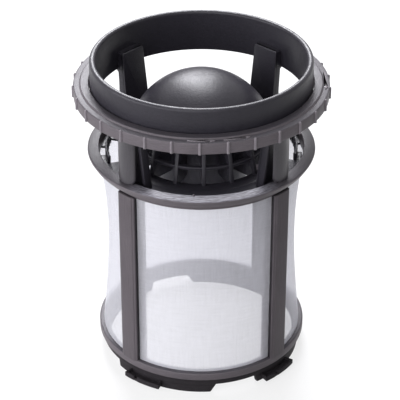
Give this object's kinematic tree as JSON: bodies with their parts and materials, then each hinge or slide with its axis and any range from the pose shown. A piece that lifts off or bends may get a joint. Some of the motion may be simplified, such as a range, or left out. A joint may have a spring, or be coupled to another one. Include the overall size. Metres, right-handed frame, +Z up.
{
  "type": "dishwasher filter",
  "caption": "Cylindrical mesh filter for a dishwasher, with a lift-out coarse cup, a ribbed grip ring and bayonet lugs on its foot.",
  "frame": {"origin": "centre of the foot's lower face, on the surface the filter stands on", "axes": "+Z up along the filter's axis, front of the filter towards -Y"},
  "size_m": [0.1018, 0.1018, 0.1325],
  "materials": {
    "body_plastic": "satin warm grey moulding",
    "woven_mesh": "fine white woven mesh",
    "cup_plastic": "semi-gloss dark grey moulding"
  },
  "bodies": {
    "cylinder": {"filter_body": "body_plastic", "mesh_sleeve": "woven_mesh"},
    "cup": {"coarse_cup": "cup_plastic"}
  },
  "joints": [
    {"name": "cup_lift", "type": "slide", "parent": "cylinder", "child": "cup", "axis": [0, 0, 1], "range_m": [0, 0.033]}
  ]
}
